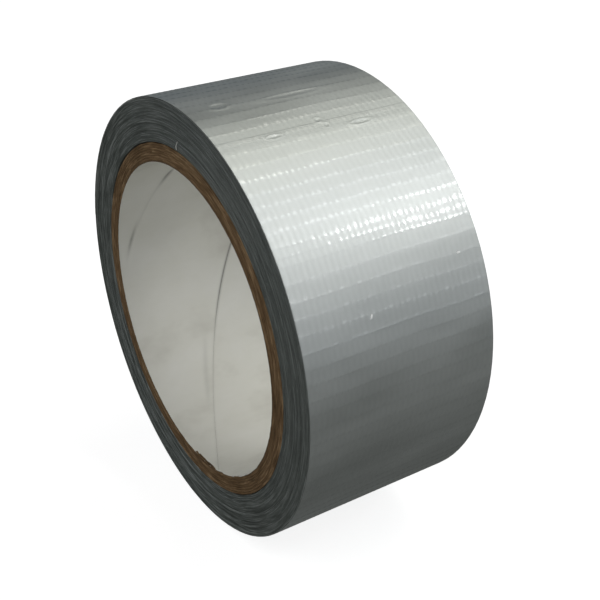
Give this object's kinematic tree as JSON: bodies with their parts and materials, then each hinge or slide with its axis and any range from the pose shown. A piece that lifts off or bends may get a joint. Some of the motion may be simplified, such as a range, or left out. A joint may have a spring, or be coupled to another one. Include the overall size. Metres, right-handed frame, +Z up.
{
  "type": "duct tape roll",
  "caption": "Roll of cloth duct tape on a spirally wound paperboard core, with a free end that peels off the outside.",
  "frame": {"origin": "middle of the bore: on the roll's axis, halfway along its width", "axes": "+Y along the roll's axis, +Z up with the roll standing on its rim, +X across the roll, away from the free end"},
  "size_m": [0.1066, 0.048, 0.1067],
  "materials": {
    "liner_paper": "matt white liner paper with soft creases and smudges",
    "kraft_board": "unbleached kraft board, its cut edges laminated and slightly fibrous",
    "wound_tape": "silver polyethylene film with the cloth's ribs showing through, dark grey and finely layered on the cut ends",
    "tape_film": "semi-gloss silver polyethylene film with the cloth's ribs showing through",
    "tape_scrim": "open-weave cotton and polyester gauze",
    "tape_adhesive": "tacky pale grey rubber adhesive"
  },
  "bodies": {
    "roll": {"core_liner": "liner_paper", "core_ply_1": "kraft_board", "core_ply_2": "kraft_board", "core_ply_3": "kraft_board", "core_ply_4": "kraft_board", "core_ply_5": "kraft_board", "core_ply_6": "kraft_board", "core_ply_7": "kraft_board", "wound_tape": "wound_tape"},
    "tail_1": {"tail_film_1": "tape_film", "tail_scrim_1": "tape_scrim", "tail_adhesive_1": "tape_adhesive"},
    "tail_2": {"tail_film_2": "tape_film", "tail_scrim_2": "tape_scrim", "tail_adhesive_2": "tape_adhesive"},
    "tail_3": {"tail_film_3": "tape_film", "tail_scrim_3": "tape_scrim", "tail_adhesive_3": "tape_adhesive"},
    "tail_4": {"tail_film_4": "tape_film", "tail_scrim_4": "tape_scrim", "tail_adhesive_4": "tape_adhesive"}
  },
  "joints": [
    {"name": "peel_1", "type": "hinge", "parent": "roll", "child": "tail_1", "pos_m": [-0.02046, 0, 0.0494], "axis": [0, 1, 0], "range_deg": [0, 30]},
    {"name": "peel_2", "type": "hinge", "parent": "tail_1", "child": "tail_2", "pos_m": [-0.03255, 0, 0.04242], "axis": [0, 1, 0], "range_deg": [0, 30]},
    {"name": "peel_3", "type": "hinge", "parent": "tail_2", "child": "tail_3", "pos_m": [-0.04243, 0, 0.03256], "axis": [0, 1, 0], "range_deg": [0, 30]},
    {"name": "peel_4", "type": "hinge", "parent": "tail_3", "child": "tail_4", "pos_m": [-0.04942, 0, 0.02047], "axis": [0, 1, 0], "range_deg": [0, 30]}
  ],
  "couplings": [
    {"joint": "peel_2", "follows": "peel_1", "ratio": 1},
    {"joint": "peel_3", "follows": "peel_1", "ratio": 1},
    {"joint": "peel_4", "follows": "peel_1", "ratio": 1}
  ]
}
